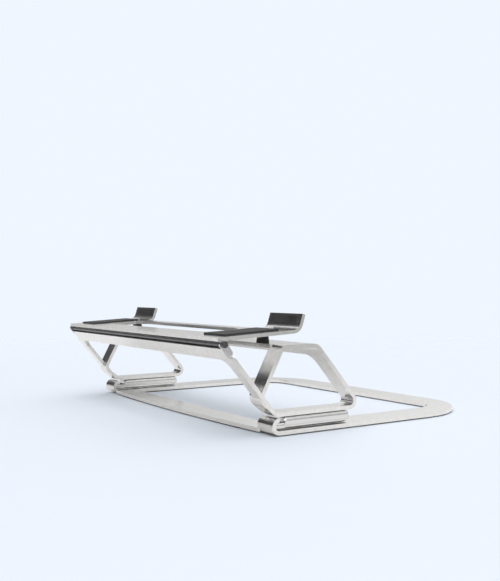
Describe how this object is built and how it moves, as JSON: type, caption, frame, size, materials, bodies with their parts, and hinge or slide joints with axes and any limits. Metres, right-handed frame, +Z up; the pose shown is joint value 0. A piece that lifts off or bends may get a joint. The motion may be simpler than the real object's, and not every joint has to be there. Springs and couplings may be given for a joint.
{
  "type": "laptop stand",
  "caption": "Low folding aluminium laptop stand: flat ring base, hinged bent-strap riser and a tilting tray with turned-up lips.",
  "frame": {"origin": "middle of the stand's bounding box, on the desk", "axes": "+X to the stand's right seen from the front, +Y from the front edge to the back, +Z up"},
  "size_m": [0.3, 0.2518, 0.0855],
  "materials": {
    "aluminium": "fine satin, bright polished look with rounded edges",
    "dark_steel": "semi-gloss black",
    "steel": "machined",
    "rubber": "matt with a fine grain"
  },
  "bodies": {
    "base": {"base_front_foot": "rubber", "base_rear_foot": "rubber", "base_ring": "aluminium", "base_side_foot_left": "rubber", "base_side_foot_right": "rubber"},
    "riser": {"arm_screw_left_front": "steel", "arm_screw_left_rear": "steel", "arm_screw_right_front": "steel", "arm_screw_right_rear": "steel", "hinge_arm_left": "aluminium", "hinge_arm_right": "aluminium", "hinge_end_plate_left": "dark_steel", "hinge_end_plate_right": "dark_steel", "hinge_pin_cap_left": "steel", "hinge_pin_cap_right": "steel", "rest_bumper_left": "rubber", "rest_bumper_right": "rubber", "riser_front_plate": "aluminium", "riser_hinge_leaf_left": "dark_steel", "riser_hinge_leaf_middle": "dark_steel", "riser_hinge_leaf_right": "dark_steel", "riser_loop_left": "aluminium", "riser_loop_right": "aluminium", "riser_rear_bridge": "aluminium", "tray_hinge_pin": "steel"},
    "tray": {"lip_pad_left": "rubber", "lip_pad_right": "rubber", "tray_hinge_leaf_left": "dark_steel", "tray_hinge_leaf_right": "dark_steel", "tray_pad_left": "rubber", "tray_pad_right": "rubber", "tray_plate": "aluminium"}
  },
  "joints": [
    {"name": "riser_fold", "type": "hinge", "parent": "base", "child": "riser", "pos_m": [0, -0.08053, 0.007], "axis": [1, 0, 0], "range_deg": [0, 40]},
    {"name": "tray_tilt", "type": "hinge", "parent": "riser", "child": "tray", "pos_m": [0, -0.12263, 0.0662], "axis": [1, 0, 0], "range_deg": [0, 55]}
  ]
}
